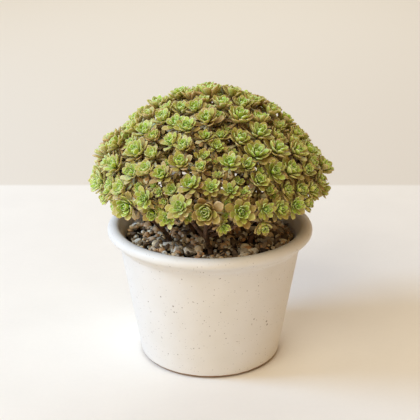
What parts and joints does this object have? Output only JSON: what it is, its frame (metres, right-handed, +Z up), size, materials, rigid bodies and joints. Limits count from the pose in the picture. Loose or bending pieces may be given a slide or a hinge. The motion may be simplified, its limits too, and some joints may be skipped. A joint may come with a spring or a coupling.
{
  "type": "potted succulent",
  "caption": "Succulent grown into a dome of small leaf rosettes on branching stems, in a tapered, rolled-rim glazed pot topped with mixed grit.",
  "frame": {"origin": "centre of the pot on the surface it stands on, midway across the canopy", "axes": "+Z up along the pot's axis, the longest way; -Y is the front of the picture and +X its right"},
  "size_m": [0.1385, 0.1363, 0.1618],
  "materials": {
    "pot_glaze": "matte off-white glaze with fine dark specks",
    "soil": "damp dark potting soil",
    "grit": "mixed lava, bark, pumice and pale pebbles, dry",
    "leaves": "waxy yellow-green leaves with tan to red-brown edges on brown stems"
  },
  "bodies": {
    "root": {"pot": "pot_glaze", "potting_soil": "soil", "grit_top_dressing": "grit", "leafy_stem_01": "leaves", "leafy_stem_02": "leaves", "leafy_stem_03": "leaves", "leafy_stem_04": "leaves", "leafy_stem_05": "leaves", "leafy_stem_06": "leaves", "leafy_stem_07": "leaves", "leafy_stem_08": "leaves", "leafy_stem_09": "leaves", "leafy_stem_10": "leaves"}
  },
  "joints": []
}
